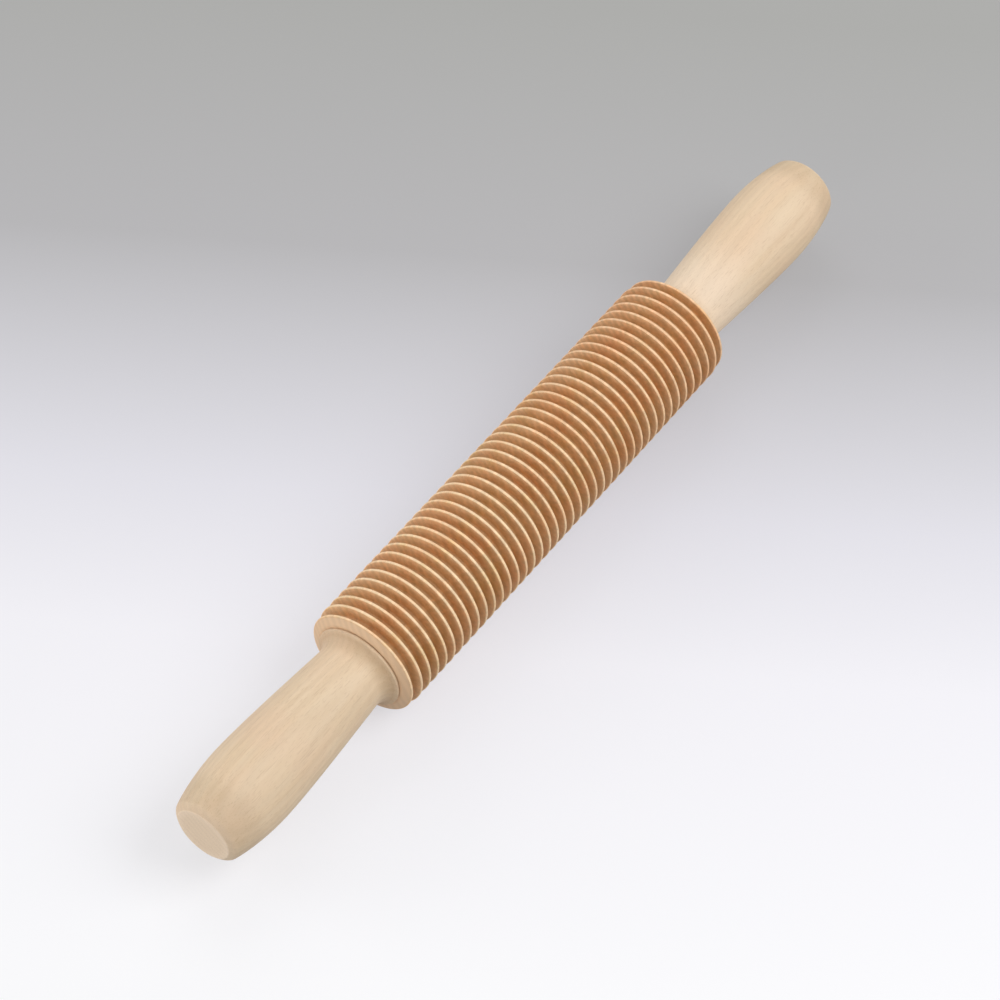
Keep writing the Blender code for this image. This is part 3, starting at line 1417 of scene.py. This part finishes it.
@dataclass(frozen=True)
class Lamp:
    """A square soft box that faces the pin.

    Attributes:
        name: Its name.
        place: Where it hangs.
        size: How wide it is.
        watts: How strong it is.
    """

    name: str
    place: Triple
    size: float
    watts: float

    def hang(self) -> None:
        """Hang the lamp, turned to the pin and hidden from the camera."""
        turn = Vector(self.place).to_track_quat("Z", "Y").to_euler()
        bpy.ops.object.light_add(type="AREA", location=self.place, rotation=turn)
        lamp = bpy.context.object
        lamp.name = self.name
        lamp.data.size = self.size
        lamp.data.energy = self.watts
        lamp.visible_camera = False


@dataclass
class Studio:
    """The pale floor, the lamps and the camera.

    Attributes:
        floor_z: The height of the floor, where the crests rest.
        floor_size: The width of the floor.
        away: The level direction along which the floor darkens.
        floor_stops: How far along that direction each colour of the floor is, and the colour.
        glow: How much of the floor is lit from below, as a light table is, which thins the shadow.
        bounce: How much light the floor throws back at the pin.
        sky: How strong the even light from all round is.
        horizon: The colour beyond the floor.
        lamps: The lamps.
        camera_at: Where the camera stands.
        camera_aim: The direction in which it looks.
        lens: Its focal length in millimetres.
        sensor: The width of its sensor in millimetres.
        nearest: How near to it a thing may be and still show.
    """

    floor_z: float = -0.0225
    floor_size: float = 9.0
    away: Point = (0.861, 0.5085)
    floor_stops: tuple[Stop, ...] = (
        (-0.20, tone(250, 250, 252)),
        (-0.06, tone(242, 241, 246)),
        (0.01, tone(226, 225, 232)),
        (0.13, tone(184, 183, 185)),
        (0.27, tone(173, 173, 171)),
    )
    glow: float = 0.62
    bounce: float = 0.48
    sky: float = 0.41
    horizon: Colour = tone(226, 226, 230)
    lamps: tuple[Lamp, ...] = (
        Lamp("key_lamp", (0.400, -0.780, 0.960), size=0.9, watts=11.6),
        Lamp("left_lamp", (-0.628, 1.087, 0.336), size=0.8, watts=5.8),
        Lamp("far_lamp", (0.683, 0.683, 0.870), size=0.9, watts=3.6),
        Lamp("near_lamp", (-1.256, 0.0, 0.336), size=0.8, watts=3.9),
    )
    camera_at: Triple = (-0.690867, -0.496224, 1.089964)
    camera_aim: Triple = (0.494135, 0.362577, -0.790170)
    lens: float = 136.68
    sensor: float = 36.0
    nearest: float = 0.01

    def build(self) -> None:
        """Set up the whole studio."""
        bpy.context.scene.view_settings.view_transform = "Standard"
        self.lay_floor()
        self.light_sky()
        for lamp in self.lamps:
            lamp.hang()
        self.place_camera()

    def lay_floor(self) -> None:
        """Lay the floor, with a colour that pales towards the camera."""
        bpy.ops.object.select_all(action="DESELECT")
        bpy.ops.mesh.primitive_plane_add(size=self.floor_size, location=(0.0, 0.0, self.floor_z))
        floor = bpy.context.object
        floor.name = "floor"
        floor.data.materials.append(self.floor_material())
        floor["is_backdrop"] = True

    def floor_material(self) -> bpy.types.Material:
        """Make the floor's material: the camera sees its colour, and the pin gets less of its light.

        Returns:
            The material.
        """
        recipe = Recipe("studio_floor", roughness=0.9)
        recipe.shader.inputs["Specular IOR Level"].default_value = 0.0
        near = self.floor_stops[0][0]
        far = self.floor_stops[-1][0]
        share = recipe.math("SUBTRACT", recipe.along((*self.away, 0.0)), near)
        share = recipe.math("DIVIDE", share, far - near)
        stops = [((place - near) / (far - near), colour) for place, colour in self.floor_stops]
        colour = recipe.ramp(share, stops)
        recipe.feed(colour, "Base Color")

        light_table = recipe.tree.nodes.new("ShaderNodeEmission")
        recipe.tree.links.new(colour, light_table.inputs["Color"])
        shown = recipe.tree.nodes.new("ShaderNodeMixShader")
        shown.inputs[0].default_value = self.glow
        recipe.tree.links.new(recipe.shader.outputs["BSDF"], shown.inputs[1])
        recipe.tree.links.new(light_table.outputs["Emission"], shown.inputs[2])

        dim = recipe.tree.nodes.new("ShaderNodeBsdfDiffuse")
        dim.inputs["Color"].default_value = grey(self.bounce)
        chosen = recipe.tree.nodes.new("ShaderNodeMixShader")
        output = recipe.tree.nodes["Material Output"]
        recipe.tree.links.new(self.seen(recipe.tree), chosen.inputs[0])
        recipe.tree.links.new(dim.outputs["BSDF"], chosen.inputs[1])
        recipe.tree.links.new(shown.outputs["Shader"], chosen.inputs[2])
        recipe.tree.links.new(chosen.outputs["Shader"], output.inputs["Surface"])
        return recipe.material

    @staticmethod
    def seen(tree: bpy.types.NodeTree) -> bpy.types.NodeSocket:
        """Tell the rays that show a thing to the camera from those that only light the pin.

        Args:
            tree: The nodes to add to.

        Returns:
            1 for a ray straight from the camera, off a gloss or through glass, and 0 for another.
        """
        path = tree.nodes.new("ShaderNodeLightPath")
        total = path.outputs["Is Camera Ray"]
        for name in ("Is Glossy Ray", "Is Transmission Ray"):
            node = tree.nodes.new("ShaderNodeMath")
            node.operation = "MAXIMUM"
            tree.links.new(total, node.inputs[0])
            tree.links.new(path.outputs[name], node.inputs[1])
            total = node.outputs["Value"]
        return total

    def light_sky(self) -> None:
        """Light the pin evenly from all round, with a pale colour where the sky itself is seen."""
        world = bpy.data.worlds.new("studio_sky")
        bpy.context.scene.world = world
        world.use_nodes = True
        tree = world.node_tree
        tree.nodes.clear()
        light = tree.nodes.new("ShaderNodeBackground")
        light.inputs["Strength"].default_value = self.sky
        pale = tree.nodes.new("ShaderNodeBackground")
        pale.inputs["Color"].default_value = self.horizon
        chosen = tree.nodes.new("ShaderNodeMixShader")
        output = tree.nodes.new("ShaderNodeOutputWorld")
        tree.links.new(self.seen(tree), chosen.inputs[0])
        tree.links.new(light.outputs["Background"], chosen.inputs[1])
        tree.links.new(pale.outputs["Background"], chosen.inputs[2])
        tree.links.new(chosen.outputs["Shader"], output.inputs["Surface"])

    def place_camera(self) -> None:
        """Stand the camera where the photograph was taken from."""
        turn = Vector(self.camera_aim).to_track_quat("-Z", "Y").to_euler()
        bpy.ops.object.camera_add(location=self.camera_at, rotation=turn)
        camera = bpy.context.object
        camera.name = "photo_camera"
        camera.data.lens = self.lens
        camera.data.sensor_width = self.sensor
        camera.data.clip_start = self.nearest
        bpy.context.scene.camera = camera


def corners(box: Sequence[Sequence[float]]) -> list[list[float]]:
    """Give a box's two corners as plain numbers."""
    return [[float(value) for value in corner] for corner in box]


def main() -> None:
    """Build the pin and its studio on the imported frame."""
    logging.basicConfig(level=logging.INFO, format="%(name)s %(message)s")
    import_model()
    solid_box = corners(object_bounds())

    Barrel().build(GroovedBeech())
    pale_wood = PaleWood()
    steel = DrawnSteel().material()
    nylon = TurnedNylon().material()
    Axle().build(steel)
    bush = Bush()
    washer = ThrustWasher()
    for side in Side:
        Handle(side).build(pale_wood)
        bush.build(side, nylon)
        washer.build(side, steel)
    Studio().build()

    {"solids": solid_box, "scene": corners(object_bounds())}


if __name__ == "__main__":
    main()
